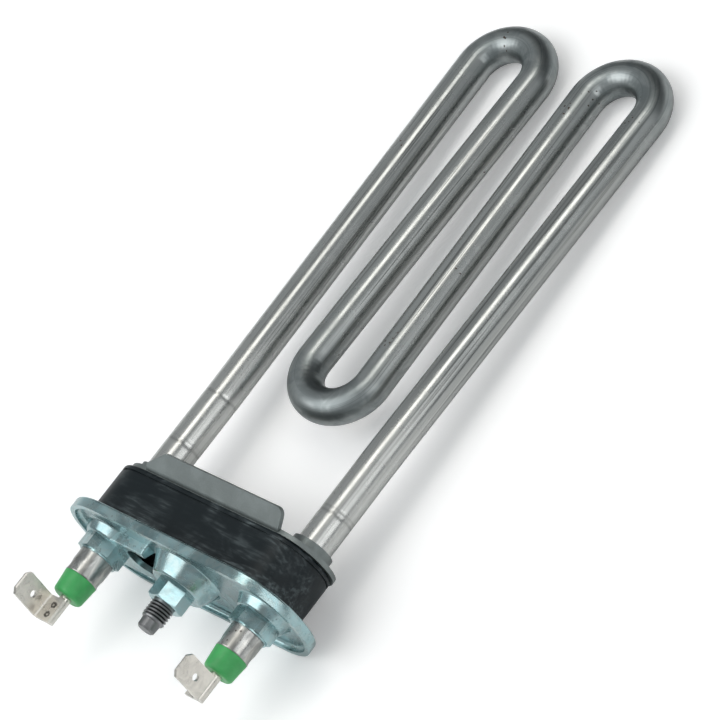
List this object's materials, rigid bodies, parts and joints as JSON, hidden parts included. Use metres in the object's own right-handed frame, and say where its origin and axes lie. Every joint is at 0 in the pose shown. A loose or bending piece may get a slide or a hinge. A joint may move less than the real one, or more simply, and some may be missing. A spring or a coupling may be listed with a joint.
{
  "type": "tubular heating element",
  "caption": "Flanged immersion heater: a sheathed tube bent into a flat W, clamped rubber gasket between two oval plates, green insulators and push-on terminal tabs.",
  "frame": {"origin": "on the clamp stud's axis, at the outer plate's back face, where the gasket seats, on the plane of the tube's centre line", "axes": "+X along the tube from the plate towards the far bends, +Y to the side called left, +Z the normal of the W"},
  "size_m": [0.1816, 0.0716, 0.0304],
  "materials": {
    "stainless": "bright annealed stainless steel",
    "resistance_wire": "bare resistance wire",
    "mineral": "pressed white mineral powder",
    "pin_steel": "plain drawn steel",
    "fuse_body": "plain metal can",
    "seal": "cured sealing resin",
    "green_plastic": "saturated green moulding",
    "tinned_steel": "tinned, with weld marks",
    "zinc_plate": "bluish bright zinc plating",
    "black_rubber": "matt black with whitish scuffs",
    "plain_steel": "matt grey sheet steel",
    "dark_steel": "dark rolled thread, lighter point"
  },
  "bodies": {
    "root": {"sheath": "stainless", "heating_coil": "resistance_wire", "insulating_powder": "mineral", "outer_pin_left": "pin_steel", "outer_pin_right": "pin_steel", "inner_pin_left": "pin_steel", "inner_pin_right": "pin_steel", "thermal_fuse_left": "fuse_body", "thermal_fuse_right": "fuse_body", "end_seal_left": "seal", "end_seal_right": "seal", "insulator_left": "green_plastic", "insulator_right": "green_plastic", "tab_left": "tinned_steel", "tab_right": "tinned_steel", "outer_plate": "zinc_plate", "gasket": "black_rubber", "inner_plate": "plain_steel", "clamp_stud": "dark_steel", "clamp_nut": "zinc_plate"}
  },
  "joints": []
}
